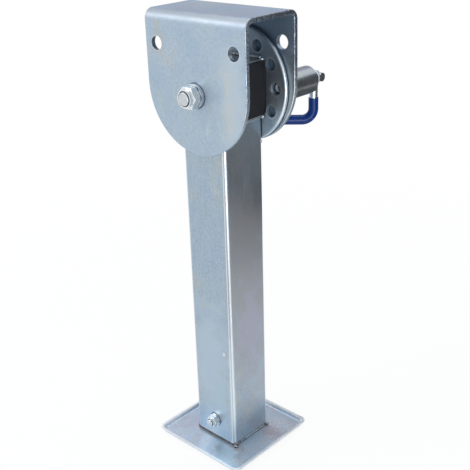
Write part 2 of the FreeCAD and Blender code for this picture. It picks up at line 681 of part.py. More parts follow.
# Index disc with its ring of holes, welded to the back of the leg and its head
def make_disc():
    disc = new_body("index_disc", y=HALF_LEG, z="sizes.pivot_height")
    outline = new_sketch(disc, "disc_outline", "XZ_Plane")
    circle(outline, "rim", "sizes.disc_diameter")
    circle(outline, "bore", "sizes.sleeve_outside")
    blank = pad(disc, outline, "disc_blank", "sizes.disc_thickness", reverse=True)
    doc.recompute()
    radius = size("disc_diameter") / 2
    rims = edges(blank, lambda e, b: near(b.XMax, radius) and near(b.YLength, 0))
    fillet(disc, "disc_rim", blank, rims, "sizes.disc_edge")
    first = new_sketch(disc, "first_hole", "XZ_Plane")
    circle(
        first, "hole", "sizes.index_hole",
        "(sizes.ring_radius * cos(sizes.index_first * 1 deg))",
        "(sizes.ring_radius * sin(sizes.index_first * 1 deg))",
    )
    hole = pocket(disc, first, "index_hole")
    ring = disc.newObject("PartDesign::PolarPattern", "index_ring")
    ring.Originals = [hole]
    ring.Axis = (first, ["N_Axis"])
    bind(ring, Angle="sizes.index_step * (sizes.index_count - 1) * 1 deg", Occurrences="sizes.index_count")
    disc.Tip = ring

    bar = doc.addObject("Part::Cylinder", "disc_bead")
    bind(bar, Radius="sizes.weld", Height="sizes.leg_width - 2 * sizes.leg_corner")
    bar.Placement.Rotation = FreeCAD.Rotation(FreeCAD.Vector(0, 1, 0), 90)
    place(bar, x="-sizes.leg_width / 2 + sizes.leg_corner", y=HALF_LEG, z=f"sizes.pivot_height + {HALF_LEG}")
    room = doc.addObject("Part::Box", "disc_side")
    bind(room, Length="sizes.leg_width", Width="sizes.weld * 2", Height="sizes.weld * 4")
    place(room, x=f"-{HALF_LEG}", y=HALF_LEG, z=f"sizes.pivot_height + {HALF_LEG} - sizes.weld * 2")
    half = doc.addObject("Part::Cut", "disc_bead_half")
    half.Base = bar
    half.Tool = room
    weld = doc.addObject("Part::Cut", "disc_weld")
    weld.Label = "disc_weld"
    weld.Base = half
    weld.Tool = doc.getObject("head_tube")
    return [disc, weld]


# Foot: a pressed square dish with a tube that goes up inside the leg
def make_foot():
    plate = new_body("foot_plate")
    spread = "(sizes.foot_size - sizes.foot_base)"
    levels = [
        ("foot_under", "0", "sizes.foot_base"),
        ("foot_rim_top", "sizes.foot_rim", "sizes.foot_size"),
    ]
    outlines = []
    for name, level, width in levels:
        sketch = new_sketch(plate, name, "XY_Plane", level)
        rounded_rectangle(sketch, "outline", width, width, "sizes.foot_corner")
        outlines.append(sketch)
    blank = plate.newObject("PartDesign::AdditiveLoft", "foot_blank")
    blank.Profile = outlines[0]
    blank.Sections = [outlines[1]]
    blank.Ruled = True
    floor_width = f"(sizes.foot_base + {spread} * sizes.foot_plate / sizes.foot_rim - 2 * sizes.foot_plate)"
    hollows = []
    for name, level, width in [
        ("dish_floor", "sizes.foot_plate", floor_width),
        ("dish_mouth", "sizes.foot_rim", "(sizes.foot_size - 2 * sizes.foot_plate)"),
    ]:
        sketch = new_sketch(plate, name, "XY_Plane", level)
        rounded_rectangle(sketch, "outline", width, width, "(sizes.foot_corner - sizes.foot_plate)")
        hollows.append(sketch)
    dish = plate.newObject("PartDesign::SubtractiveLoft", "foot_dish")
    dish.Profile = hollows[0]
    dish.Sections = [hollows[1]]
    dish.Ruled = True
    doc.recompute()
    inside = size("foot_plate")
    under = edges(dish, lambda e, b: near(b.ZMax, 0))
    fillet(plate, "foot_under_edge", dish, under, "sizes.foot_plate * 0.8")
    doc.recompute()
    rounded = plate.Tip
    bottom = edges(rounded, lambda e, b: near(b.ZMin, inside) and near(b.ZMax, inside))
    fillet(plate, "dish_floor_edge", rounded, bottom, "sizes.foot_plate * 0.6")

    width = f"({INNER_WIDTH} - 2 * sizes.spigot_slack)"
    spigot = new_body("foot_spigot")
    section = new_sketch(spigot, "spigot_section", "XY_Plane", "sizes.foot_plate")
    rounded_rectangle(section, "outside", width, width, INNER_CORNER)
    inner = f"({width} - 2 * sizes.spigot_wall)"
    rounded_rectangle(section, "inside", inner, inner, INNER_CORNER)
    pad(spigot, section, "spigot_length", "sizes.spigot_height")
    cross = new_sketch(spigot, "spigot_bolt_hole", "XZ_Plane")
    circle(cross, "hole", "sizes.foot_bolt + 2 * sizes.foot_bolt_slack", None, "sizes.foot_bolt_height")
    pocket(spigot, cross, "spigot_cross_hole", side="Symmetric")

    bead = new_body("foot_weld")
    levels = [
        ("foot_bead_root", "sizes.foot_plate", f"({width} + 2 * sizes.foot_bead)"),
        ("foot_bead_crown", "sizes.foot_plate + sizes.foot_bead", f"({width} + 0.4 * sizes.foot_bead)"),
    ]
    outlines = []
    for name, level, side in levels:
        sketch = new_sketch(bead, name, "XY_Plane", level)
        rounded_rectangle(sketch, "outline", side, side, f"({INNER_CORNER} + sizes.foot_bead * 0.5)")
        outlines.append(sketch)
    ramp = bead.newObject("PartDesign::AdditiveLoft", "foot_bead_ramp")
    ramp.Profile = outlines[0]
    ramp.Sections = [outlines[1]]
    ramp.Ruled = True
    core = new_sketch(bead, "foot_bead_core", "XY_Plane", "sizes.foot_plate")
    rounded_rectangle(core, "outline", width, width, INNER_CORNER)
    pocket(bead, core, "foot_bead_opening", "sizes.foot_bead", reverse=True)
    return [plate, spigot, bead]


nodes = [make_bracket()]
nodes += make_fasteners("pivot", FRONT_FACE, BACK_FACE, "sizes.pivot_height")
nodes += make_housing()
nodes += make_pin()
nodes += make_handle()
nodes += make_leg()
nodes += make_disc()
nodes += make_foot()
nodes += make_fasteners("foot", f"-{HALF_LEG}", HALF_LEG, "sizes.foot_bolt_height")
doc.recompute()

for thing in doc.Objects:
    if "Invalid" in thing.State or "Error" in thing.State:
        raise RuntimeError(f"{thing.Name} did not recompute: {thing.State}")
for thing in doc.Objects:
    if thing.TypeId == "PartDesign::Pocket":
        removed = thing.BaseFeature.Shape.Volume - thing.Shape.Volume
        if removed < 1:
            raise RuntimeError(f"{thing.Name} cut nothing away")
for node in nodes:
    if node.Shape.isNull() or not node.Shape.isValid():
        raise RuntimeError(f"{node.Label} has no valid shape")
    if not node.Shape.Solids:
        raise RuntimeError(f"{node.Label} has no solid")

os.makedirs("parts", exist_ok=True)
for node in nodes:
    node.Shape.exportStep(f"parts/{node.Label}.step")
    print(node.Label, len(node.Shape.Solids), round(node.Shape.Volume))
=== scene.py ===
import bpy
import math
from mathutils import Matrix, Vector


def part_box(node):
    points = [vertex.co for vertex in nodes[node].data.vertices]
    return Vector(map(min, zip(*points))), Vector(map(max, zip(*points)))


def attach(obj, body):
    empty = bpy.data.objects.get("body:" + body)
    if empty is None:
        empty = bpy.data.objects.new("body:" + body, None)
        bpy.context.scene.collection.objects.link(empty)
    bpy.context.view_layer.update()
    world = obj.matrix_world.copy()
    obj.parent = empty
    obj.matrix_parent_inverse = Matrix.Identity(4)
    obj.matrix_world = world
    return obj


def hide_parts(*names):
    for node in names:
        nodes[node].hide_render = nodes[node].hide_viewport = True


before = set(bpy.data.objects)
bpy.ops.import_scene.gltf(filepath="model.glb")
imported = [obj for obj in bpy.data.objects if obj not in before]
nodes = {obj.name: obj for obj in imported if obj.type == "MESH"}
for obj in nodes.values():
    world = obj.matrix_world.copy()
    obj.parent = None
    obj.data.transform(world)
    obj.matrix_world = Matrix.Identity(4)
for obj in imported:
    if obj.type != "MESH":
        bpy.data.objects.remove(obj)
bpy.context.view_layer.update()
print("frame loaded:", len(nodes), "parts")


# The camera stands where the photograph was taken from
cameraValues = {
    "place": (0.5975, -0.6226, 0.6359),
    "turn": 0.7758,       # radians left of straight ahead
    "down": 0.4056,       # radians below the horizon
    "roll": -0.0405,
    "sensor": 36,
    "lens": 64.152,
    "shiftX": 0.03679,
    "shiftY": -0.0067,
    "nearest": 0.01,
}


def makeCamera(values):
    bpy.ops.object.camera_add(location=values["place"])
    camera = bpy.context.object
    camera.name = "mainCamera"
    facing = Matrix.Rotation(values["turn"], 3, "Z")
    tipping = Matrix.Rotation(math.pi / 2 - values["down"], 3, "X")
    rolling = Matrix.Rotation(values["roll"], 3, "Z")
    camera.rotation_euler = (facing @ tipping @ rolling).to_euler()
    camera.data.sensor_width = values["sensor"]
    camera.data.lens = values["lens"]
    camera.data.shift_x = values["shiftX"]
    camera.data.shift_y = values["shiftY"]
    camera.data.clip_start = values["nearest"]
    bpy.context.scene.camera = camera


makeCamera(cameraValues)
bpy.context.scene.view_settings.view_transform = "Standard"
print("camera set")


# Helpers for meshes
mergeGap = 0.00001    # corners nearer than this become one


def deselectAll():
    if bpy.context.object and bpy.context.object.mode != "OBJECT":
        bpy.ops.object.mode_set(mode="OBJECT")
    bpy.ops.object.select_all(action="DESELECT")


def pick(thing):
    deselectAll()
    thing.select_set(True)
    bpy.context.view_layer.objects.active = thing


def settle(thing, name, smooth=50):
    # the place goes into the mesh, and the object stays at the origin
    thing.name = name
    thing.data.name = name
    pick(thing)
    bpy.ops.object.transform_apply(location=True, rotation=True, scale=True)
    bpy.ops.object.mode_set(mode="EDIT")
    bpy.ops.mesh.select_all(action="SELECT")
    bpy.ops.mesh.remove_doubles(threshold=mergeGap)
    bpy.ops.mesh.normals_make_consistent(inside=False)
    bpy.ops.object.mode_set(mode="OBJECT")
    bpy.ops.object.shade_smooth_by_angle(angle=math.radians(smooth))
    deselectAll()
    return thing


def joinAll(things, name):
    deselectAll()
    for thing in things:
        thing.select_set(True)
    bpy.context.view_layer.objects.active = things[0]
    bpy.ops.object.join()
    return settle(bpy.context.object, name)


# Helpers for node trees
def emptyTree(owner):
    owner.use_nodes = True
    owner.node_tree.nodes.clear()
    return owner.node_tree


def feed(tree, socket, value):
    # a link from another node, or else a plain number, place or colour
    if isinstance(value, bpy.types.NodeSocket):
        tree.links.new(value, socket)
    else:
        socket.default_value = value


def addNode(tree, kind, x=0, y=0, **sets):
    made = tree.nodes.new(kind)
    made.location = (x, y)
    for name, value in sets.items():
        setattr(made, name, value)
    return made


def addMath(tree, operation, x, y, *values):
    made = addNode(tree, "ShaderNodeMath", x, y, operation=operation)
    for socket, value in zip(made.inputs, values):
        feed(tree, socket, value)
    return made.outputs[0]


def addVector(tree, operation, x, y, *values):
    made = addNode(tree, "ShaderNodeVectorMath", x, y, operation=operation)
    for socket, value in zip(made.inputs, values):
        feed(tree, socket, value)
    return made.outputs[1 if operation in ("DISTANCE", "DOT_PRODUCT", "LENGTH") else 0]


def addRange(tree, x, y, value, low, high, lowOut=0, highOut=1):
    made = addNode(tree, "ShaderNodeMapRange", x, y)
    made.inputs["From Min"].default_value = low
    made.inputs["From Max"].default_value = high
    made.inputs["To Min"].default_value = lowOut
    made.inputs["To Max"].default_value = highOut
    tree.links.new(value, made.inputs["Value"])
    return made.outputs[0]


def addMix(tree, x, y, share, first, second, blend="MIX"):
    # of two colours
    made = addNode(tree, "ShaderNodeMix", x, y, data_type="RGBA", blend_type=blend)
    for place, value in zip((0, 6, 7), (share, first, second)):
        feed(tree, made.inputs[place], value)
    return made.outputs[2]


def addValueMix(tree, x, y, share, first, second):
    made = addNode(tree, "ShaderNodeMix", x, y, data_type="FLOAT")
    for place, value in zip((0, 2, 3), (share, first, second)):
        feed(tree, made.inputs[place], value)
    return made.outputs[0]


def addShaderMix(tree, x, y, share, first, second):
    made = addNode(tree, "ShaderNodeMixShader", x, y)
    for socket, value in zip(made.inputs, (share, first, second)):
        tree.links.new(value, socket)
    return made.outputs[0]


def addNoise(tree, x, y, vector, scale, detail=3, roughness=0.5, distortion=0):
    made = addNode(tree, "ShaderNodeTexNoise", x, y)
    settings = {"Vector": vector, "Scale": scale, "Detail": detail, "Roughness": roughness,
                "Distortion": distortion}
    for label, value in settings.items():
        feed(tree, made.inputs[label], value)
    return made.outputs["Fac"]


def newGroup(name, inputs, outputs):
    # a number, a place of three and a colour of four make their own kind of input; None is a place too
    group = bpy.data.node_groups.new(name, "ShaderNodeTree")
    for label, value in inputs.items():
        kind = "Float" if isinstance(value, (int, float)) else "Vector"
        if kind == "Vector" and value and len(value) == 4:
            kind = "Color"
        socket = group.interface.new_socket(name=label, in_out="INPUT", socket_type="NodeSocket" + kind)
        if value is not None:
            socket.default_value = value
    for label, kind in outputs.items():
        group.interface.new_socket(name=label, in_out="OUTPUT", socket_type="NodeSocket" + kind)
    start = addNode(group, "NodeGroupInput", -1100, 0)
    end = addNode(group, "NodeGroupOutput", 900, 0)
    return group, start.outputs, end.inputs


def placeGroup(tree, group, x, y, **values):
    made = addNode(tree, "ShaderNodeGroup", x, y, node_tree=group)
    for label, value in values.items():
        feed(tree, made.inputs[label], value)
    return made.outputs


# Effects that several finishes share
fieldSpan = (0.3, 0.7)    # most of what a noise gives lies between these


def makeCloudGroup():
    # slow patches of other tones, as plating has, and a fine mottle over all of them
    tints = {
        "Cool": {"shift": (0, 0, 0), "pace": 1.0, "detail": 4, "from": 0.40, "to": 0.66, "twist": 0.3},
        "Warm": {"shift": (3.1, 1.7, 5.3), "pace": 0.8, "detail": 3, "from": 0.50, "to": 0.74,
                 "twist": 0.8},
        "Stain": {"shift": (7.7, 4.2, 1.9), "pace": 1.5, "detail": 5, "from": 0.56, "to": 0.78,
                  "twist": 0.5},
    }
    tintRough = 0.55
    mottle = {"scale": 520, "detail": 4, "rough": 0.7, "dark": 0.72, "light": 1.28}
    plain = (0.4, 0.5, 0.6, 1)
    group, given, result = newGroup(
        "platingClouds",
        {"Vector": None, "Base": plain, **{label: plain for label in tints}, "Size": 0.05,
         "Amount": 0.5, "Mottle": 0.1},
        {"Color": "Color", "Patch": "Float"},
    )
    scale = addMath(group, "DIVIDE", -900, -300, 1, given["Size"])
    tone = given["Base"]
    patch = None
    for row, (label, tint) in enumerate(tints.items()):
        y = 300 - 300 * row
        moved = addVector(group, "ADD", -900, y, given["Vector"], tint["shift"])
        pace = addMath(group, "MULTIPLY", -700, y - 120, scale, tint["pace"])
        field = addNoise(group, -500, y, moved, pace, tint["detail"], tintRough, tint["twist"])
        share = addRange(group, -300, y, field, tint["from"], tint["to"])
        share = addMath(group, "MULTIPLY", -100, y, share, given["Amount"])
        tone = addMix(group, 100 + 150 * row, y, share, tone, given[label])
        patch = patch or field
    specks = addNoise(group, -500, -700, given["Vector"], mottle["scale"], mottle["detail"],
                      mottle["rough"])
    specks = addRange(group, -300, -700, specks, *fieldSpan, mottle["dark"], mottle["light"])
    tone = addMix(group, 650, 0, given["Mottle"], tone, specks, "MULTIPLY")
    group.links.new(tone, result["Color"])
    group.links.new(patch, result["Patch"])
    return group


def makeGrainGroup():
    # fine tooth of the sheet under its plating with wide soft dents, as a height
    fine = {"detail": 5, "rough": 0.6}
    dentPace = 0.06    # of the tooth's own, so the dents are wide
    group, given, result = newGroup(
        "sheetGrain",
        {"Vector": None, "Size": 0.0012, "Stretch": (1, 1, 1), "Dents": 0.3},
        {"Height": "Float", "Mask": "Float"},
    )
    scale = addMath(group, "DIVIDE", -900, -200, 1, given["Size"])
    wide = addMath(group, "MULTIPLY", -700, -300, scale, dentPace)
    along = addVector(group, "MULTIPLY", -900, 100, given["Vector"], given["Stretch"])
    tooth = addNoise(group, -450, 200, along, scale, fine["detail"], fine["rough"])
    dents = addNoise(group, -450, -100, given["Vector"], wide, 1)
    group.links.new(addValueMix(group, 0, 100, given["Dents"], tooth, dents), result["Height"])
    group.links.new(tooth, result["Mask"])
    return group


def makeEdgeGroup():
    # painted highlight along rounded edges, partly zinc rubbed bright there: bright where the bevelled
    # normal leaves the true one
    values = {"samples": 8, "flat": 0.995, "turned": 0.88, "patches": 160, "from": 0.35, "to": 0.6}
    group, given, result = newGroup(
        "edgeRubAndHighlight", {"Vector": None, "Reach": 0.0012, "Broken": 0.5}, {"Mask": "Float"},
    )
    bevel = addNode(group, "ShaderNodeBevel", -600, 200, samples=values["samples"])
    geometry = addNode(group, "ShaderNodeNewGeometry", -600, 0)
    group.links.new(given["Reach"], bevel.inputs["Radius"])
    dot = addVector(group, "DOT_PRODUCT", -400, 100, bevel.outputs[0], geometry.outputs["Normal"])
    edge = addRange(group, -200, 100, dot, values["flat"], values["turned"])
    patches = addNoise(group, -600, -250, given["Vector"], values["patches"])
    patches = addRange(group, -400, -250, patches, values["from"], values["to"])
    keep = addValueMix(group, -150, -250, given["Broken"], 1, patches)
    group.links.new(addMath(group, "MULTIPLY", 200, 0, edge, keep), result["Mask"])
    return group


def makeCreviceGroup():
    # painted shade where two faces nearly meet: darker where ambient occlusion finds the surface hemmed in
    values = {"samples": 8, "open": 0.62, "shut": 0.22}
    group, given, result = newGroup("creviceShade", {"Reach": 0.002}, {"Mask": "Float"})
    hollow = addNode(group, "ShaderNodeAmbientOcclusion", -400, 0, samples=values["samples"])
    group.links.new(given["Reach"], hollow.inputs["Distance"])
    mask = addRange(group, 0, 0, hollow.outputs["AO"], values["open"], values["shut"])
    group.links.new(mask, result["Mask"])
    return group


def makeWipeGroup():
    # long faint marks left by rollers and handling, and a few sharper scratches
    streak = {"detail": 3, "rough": 0.6, "from": 0.42, "to": 0.72}
    scratch = {"turn": (0.35, 0.9, 0.4), "scale": (34, 34, 3), "outer": 0.006, "inner": 0.001}
    gap = {"scale": 30, "detail": 2, "from": 0.52, "to": 0.62}
    group, given, result = newGroup(
        "wipeMarks",
        {"Vector": None, "Stretch": (1, 1, 0.05), "Size": 0.003},
        {"Marks": "Float", "Scratches": "Float"},
    )
    scale = addMath(group, "DIVIDE", -900, -200, 1, given["Size"])
    along = addVector(group, "MULTIPLY", -900, 100, given["Vector"], given["Stretch"])
    streaks = addNoise(group, -500, 200, along, scale, streak["detail"], streak["rough"])
    streaks = addRange(group, -300, 200, streaks, streak["from"], streak["to"])
    turned = addNode(group, "ShaderNodeMapping", -700, -300)
    turned.inputs["Rotation"].default_value = scratch["turn"]
    turned.inputs["Scale"].default_value = scratch["scale"]
    group.links.new(given["Vector"], turned.inputs["Vector"])
    cells = addNode(group, "ShaderNodeTexVoronoi", -500, -300, feature="DISTANCE_TO_EDGE")
    cells.inputs["Scale"].default_value = 1
    group.links.new(turned.outputs[0], cells.inputs["Vector"])
    lines = addRange(group, -300, -300, cells.outputs["Distance"], scratch["outer"], scratch["inner"])
    breaks = addNoise(group, -500, -600, given["Vector"], gap["scale"], gap["detail"])
    breaks = addRange(group, -300, -600, breaks, gap["from"], gap["to"])
    group.links.new(streaks, result["Marks"])
    group.links.new(addMath(group, "MULTIPLY", 0, -300, lines, breaks), result["Scratches"])
    return group


def makeSpotGroup():
    # one ragged patch round a point; used for stains such as a weld's heat leaves, and for painted
    # highlights and painted shade
    values = {"detail": 4, "rough": 0.65, "outer": 1.1, "inner": 0.4}
    group, given, result = newGroup(
        "raggedSpot",
        {"Vector": None, "Centre": None, "Spread": (1, 1, 1), "Ragged": 0.5, "Grain": 0.003},
        {"Mask": "Float"},
    )
    away = addVector(group, "SUBTRACT", -900, 200, given["Vector"], given["Centre"])
    away = addVector(group, "DIVIDE", -700, 200, away, given["Spread"])
    reach = addVector(group, "LENGTH", -500, 200, away)
    scale = addMath(group, "DIVIDE", -900, -200, 1, given["Grain"])
    ragged = addNoise(group, -700, -200, given["Vector"], scale, values["detail"], values["rough"])
    ragged = addRange(group, -500, -200, ragged, *fieldSpan, -1, 1)
    ragged = addMath(group, "MULTIPLY", -300, -200, ragged, given["Ragged"])
    edge = addMath(group, "ADD", -100, 0, reach, ragged)
    group.links.new(addRange(group, 100, 0, edge, values["outer"], values["inner"]), result["Mask"])
    return group


def makeRingGroup():
    # painted shade: a thin dark line round a washer whose bolt runs along Y
    core = 0.3    # share of the line's width that is fully dark
    group, given, result = newGroup(
        "shadeRing", {"Vector": None, "Centre": None, "Radius": 0.01, "Width": 0.0006}, {"Mask": "Float"},
    )
    away = addVector(group, "SUBTRACT", -900, 0, given["Vector"], given["Centre"])
    away = addVector(group, "MULTIPLY", -700, 0, away, (1, 0, 1))
    reach = addVector(group, "LENGTH", -500, 0, away)
    offset = addMath(group, "SUBTRACT", -300, 0, reach, given["Radius"])
    offset = addMath(group, "ABSOLUTE", -100, 0, offset)
    share = addMath(group, "DIVIDE", 100, 0, offset, given["Width"])
    group.links.new(addRange(group, 300, 0, share, 1, core), result["Mask"])
    return group


def makeCornerGroup():
    # painted highlight: two bright lines along the rolled corners of a square tube, one each side of the
    # corner's middle
    cornerLines = [(0.30, 0.20), (1.12, 0.36)]    # how far round the corner each lies, and its width
    core = 0.3    # share of a line's width that is fully bright
    litFacing = {"from": 0.2, "to": 1.2, "least": 0.3}    # strongest on the corner at +X, -Y
    group, given, result = newGroup("tubeCornerHighlight", {"Normal": None}, {"Mask": "Float"})
    split = addNode(group, "ShaderNodeSeparateXYZ", -900, 0)
    group.links.new(given["Normal"], split.inputs[0])
    across = addMath(group, "ABSOLUTE", -700, 100, split.outputs["X"])
    along = addMath(group, "ABSOLUTE", -700, -100, split.outputs["Y"])
    turn = addMath(group, "ARCTAN2", -500, 0, across, along)
    lines = []
    for row, (middle, width) in enumerate(cornerLines):
        y = 200 - 300 * row
        offset = addMath(group, "SUBTRACT", -300, y, turn, middle)
        offset = addMath(group, "ABSOLUTE", -150, y, offset)
        lines.append(addRange(group, 0, y, offset, width, width * core))
    both = addMath(group, "MAXIMUM", 300, 0, *lines)
    litShare = addMath(group, "SUBTRACT", 0, -500, split.outputs["X"], split.outputs["Y"])
    litShare = addRange(group, 300, -500, litShare, litFacing["from"], litFacing["to"], litFacing["least"], 1)
    group.links.new(addMath(group, "MULTIPLY", 600, 0, both, litShare), result["Mask"])
    return group


clouds = makeCloudGroup()
grain = makeGrainGroup()
edgeRubAndHighlight = makeEdgeGroup()
crevice = makeCreviceGroup()
wipes = makeWipeGroup()
spot = makeSpotGroup()
corner = makeCornerGroup()
shadeRing = makeRingGroup()
print("shared effects built")


def newMaterial(name):
    material = bpy.data.materials.new(name)
    tree = emptyTree(material)
    output = addNode(tree, "ShaderNodeOutputMaterial", 1300, 0)
    shader = addNode(tree, "ShaderNodeBsdfPrincipled", 1000, 0)
    tree.links.new(shader.outputs[0], output.inputs[0])
    return material, tree, shader


def addRough(tree, field, values):
    low, high = values["rough"] - values["roughSpread"], values["rough"] + values["roughSpread"]
    return addRange(tree, -200, -50, field, *fieldSpan, low, high)


def closeShader(tree, shader, color, soft, height, values):
    bump = addNode(tree, "ShaderNodeBump", 400, -250)
    bump.inputs["Strength"].default_value = values["bump"]
    bump.inputs["Distance"].default_value = values["depth"]
    tree.links.new(height, bump.inputs["Height"])
    tree.links.new(color, shader.inputs["Base Color"])
    tree.links.new(soft, shader.inputs["Roughness"])
    tree.links.new(bump.outputs[0], shader.inputs["Normal"])


def makePlated(name, values):
    material, tree, shader = newMaterial(name)
    shader.inputs["Metallic"].default_value = values["metallic"]
    place = addNode(tree, "ShaderNodeTexCoord", -1100, 0).outputs
    where = place["Object"]
    tone = placeGroup(tree, clouds, -700, 400, Vector=where, Base=values["base"], Cool=values["cool"],
                      Warm=values["warm"], Stain=values["stain"], Size=values["patch"],
                      Amount=values["patchAmount"], Mottle=values["mottle"])
    marks = placeGroup(tree, wipes, -700, 100, Vector=where, Stretch=values["stretch"], Size=values["wipe"])
    tooth = placeGroup(tree, grain, -700, -150, Vector=where, Size=values["grain"],
                       Stretch=values["stretch"], Dents=values["dents"])
    rubAndHighlight = placeGroup(tree, edgeRubAndHighlight, -700, -400, Vector=where, Reach=values["edge"],
                     Broken=values["edgeBroken"])
    hollow = placeGroup(tree, crevice, -700, -600, Reach=values["creviceReach"])
    streak = addMath(tree, "MULTIPLY", -400, 150, marks["Marks"], values["wipeShare"])
    color = addMix(tree, -200, 400, streak, tone["Color"], values["wipeTone"])
    scratch = addMath(tree, "MULTIPLY", -400, 50, marks["Scratches"], values["scratchShare"])
    color = addMix(tree, -50, 400, scratch, color, values["wearAndHighlightTone"])
    for row, mark in enumerate(values["spots"]):
        y = -800 - 200 * row
        patch = placeGroup(tree, spot, -700, y, Vector=where, Centre=mark["at"],
                           Spread=mark["spread"], Ragged=mark["ragged"], Grain=mark["grain"])
        share = addMath(tree, "MULTIPLY", -400, y, patch["Mask"], mark["share"])
        color = addMix(tree, 100 + 120 * row, 400, share, color, mark["tone"])
    for row, ring in enumerate(values["rings"]):
        y = -800 - 200 * row
        line = placeGroup(tree, shadeRing, -1000, y, Vector=where, Centre=ring["at"],
                          Radius=ring["radius"], Width=ring["width"])
        share = addMath(tree, "MULTIPLY", -850, y, line["Mask"], ring["share"])
        color = addMix(tree, 500, 600 + 150 * row, share, color, values["creviceShadeTone"])
    # painted highlight along the tube's rounded corners
    if values["tubeCornerHighlight"]:
        lines = placeGroup(tree, corner, -700, -1500, Normal=place["Normal"])
        share = addMath(tree, "MULTIPLY", -400, -1500, lines["Mask"], values["tubeCornerHighlight"])
        color = addMix(tree, 600, 400, share, color, values["wearAndHighlightTone"])
    # painted highlight on rounded edges, partly rubbed zinc
    edge = addMath(tree, "MULTIPLY", -400, -400, rubAndHighlight["Mask"], values["edgeShare"])
    color = addMix(tree, 700, 400, edge, color, values["wearAndHighlightTone"])
    # painted shade in crevices between faces and parts
    shadeInCrevice = addMath(tree, "MULTIPLY", -400, -600, hollow["Mask"], values["creviceShare"])
    color = addMix(tree, 820, 400, shadeInCrevice, color, values["creviceShadeTone"])
    # painted shade inside hollows: darker where ambient occlusion over a long reach finds the surface
    # closed in, deep in the bracket and on the disc
    if values["insideShare"]:
        inside = placeGroup(tree, crevice, -700, -800, Reach=values["insideReach"])
        insideShade = addMath(tree, "MULTIPLY", -400, -800, inside["Mask"], values["insideShare"])
        color = addMix(tree, 900, 400, insideShade, color, values["insideTone"])
    worn = addMath(tree, "MULTIPLY", -200, 50, streak, values["wipeRough"])
    soft = addMath(tree, "ADD", 0, -50, addRough(tree, tone["Patch"], values), worn)
    closeShader(tree, shader, color, soft, tooth["Height"], values)
    return material


zincValues = {
    "base": (0.395, 0.487, 0.580, 1), "cool": (0.350, 0.455, 0.570, 1), "warm": (0.435, 0.505, 0.530, 1),
    "stain": (0.46, 0.50, 0.51, 1), "patch": 0.045, "patchAmount": 0.8, "mottle": 0.45,
    "grain": 0.0014, "stretch": (1, 1, 1), "dents": 0.25, "bump": 0.12, "depth": 0.0004,
    "edge": 0.0012, "edgeBroken": 0.25, "wearAndHighlightTone": (0.86, 0.91, 0.94, 1), "edgeShare": 1.0,
    "tubeCornerHighlight": 0, "creviceReach": 0.002, "creviceShadeTone": (0.05, 0.055, 0.07, 1), "creviceShare": 1.0,
    # insideReach, insideTone and insideShare paint shade inside hollows
    "insideReach": 0.12, "insideTone": (0.10, 0.165, 0.24, 1), "insideShare": 0,
    "wipe": 0.004, "wipeShare": 0.12, "wipeTone": (0.50, 0.56, 0.62, 1), "wipeRough": 0.3,
    "scratchShare": 0.15, "rough": 0.46, "roughSpread": 0.06, "metallic": 0.9, "spots": [], "rings": [],
}


def washerRing(node, width, share):
    # painted shade: the dark line round a washer, on the plate under it
    low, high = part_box(node)
    middle = ((low[0] + high[0]) / 2, 0, (low[2] + high[2]) / 2)
    return {"at": middle, "radius": (high[0] - low[0]) / 2 + width / 2, "width": width, "share": share}


# Marks on the pieces, some real stains and some painted highlights and painted shade: where each lies, how
# far it spreads and what tone it has
bracketSpots = [
    # painted dark reflection on the bracket's +X end faces
    {"at": (0.0700, 0.012, 0.460), "spread": (0.0016, 0.052, 0.14), "ragged": 1.0, "grain": 0.0022,
     "tone": (0.10, 0.09, 0.10, 1), "share": 0.75},
    # painted light on the far cheek's inner face near the open +X side
    {"at": (0.064, 0.0365, 0.425), "spread": (0.014, 0.010, 0.040), "ragged": 0.3, "grain": 0.01,
     "tone": (0.86, 0.92, 0.94, 1), "share": 0.6},
    # painted shade: a darker band along the top front bend, toning down its highlight
    {"at": (0, -0.0350, 0.5075), "spread": (0.30, 0.0070, 0.0065), "ragged": 0.2, "grain": 0.01,
     "tone": (0.350, 0.395, 0.450, 1), "share": 0.9},
    # painted light on the right part of the front cheek
    {"at": (0.052, -0.0376, 0.430), "spread": (0.020, 0.01, 0.070), "ragged": 0.35, "grain": 0.02,
     "tone": (0.48, 0.565, 0.63, 1), "share": 0.75},
    {"at": (0.0457, -0.0376, 0.446), "spread": (0.007, 0.01, 0.016), "ragged": 0.5, "grain": 0.006,
     "tone": (0.56, 0.57, 0.53, 1), "share": 0.35},
    {"at": (0.0450, -0.0376, 0.412), "spread": (0.007, 0.01, 0.020), "ragged": 0.6, "grain": 0.006,
     "tone": (0.58, 0.57, 0.51, 1), "share": 0.32},
    {"at": (-0.051, -0.0376, 0.478), "spread": (0.010, 0.01, 0.022), "ragged": 0.7, "grain": 0.008,
     "tone": (0.44, 0.45, 0.42, 1), "share": 0.55},
    {"at": (0.0148, -0.0376, 0.392), "spread": (0.0016, 0.01, 0.008), "ragged": 0.3, "grain": 0.002,
     "tone": (0.52, 0.60, 0.66, 1), "share": 0.5},
]
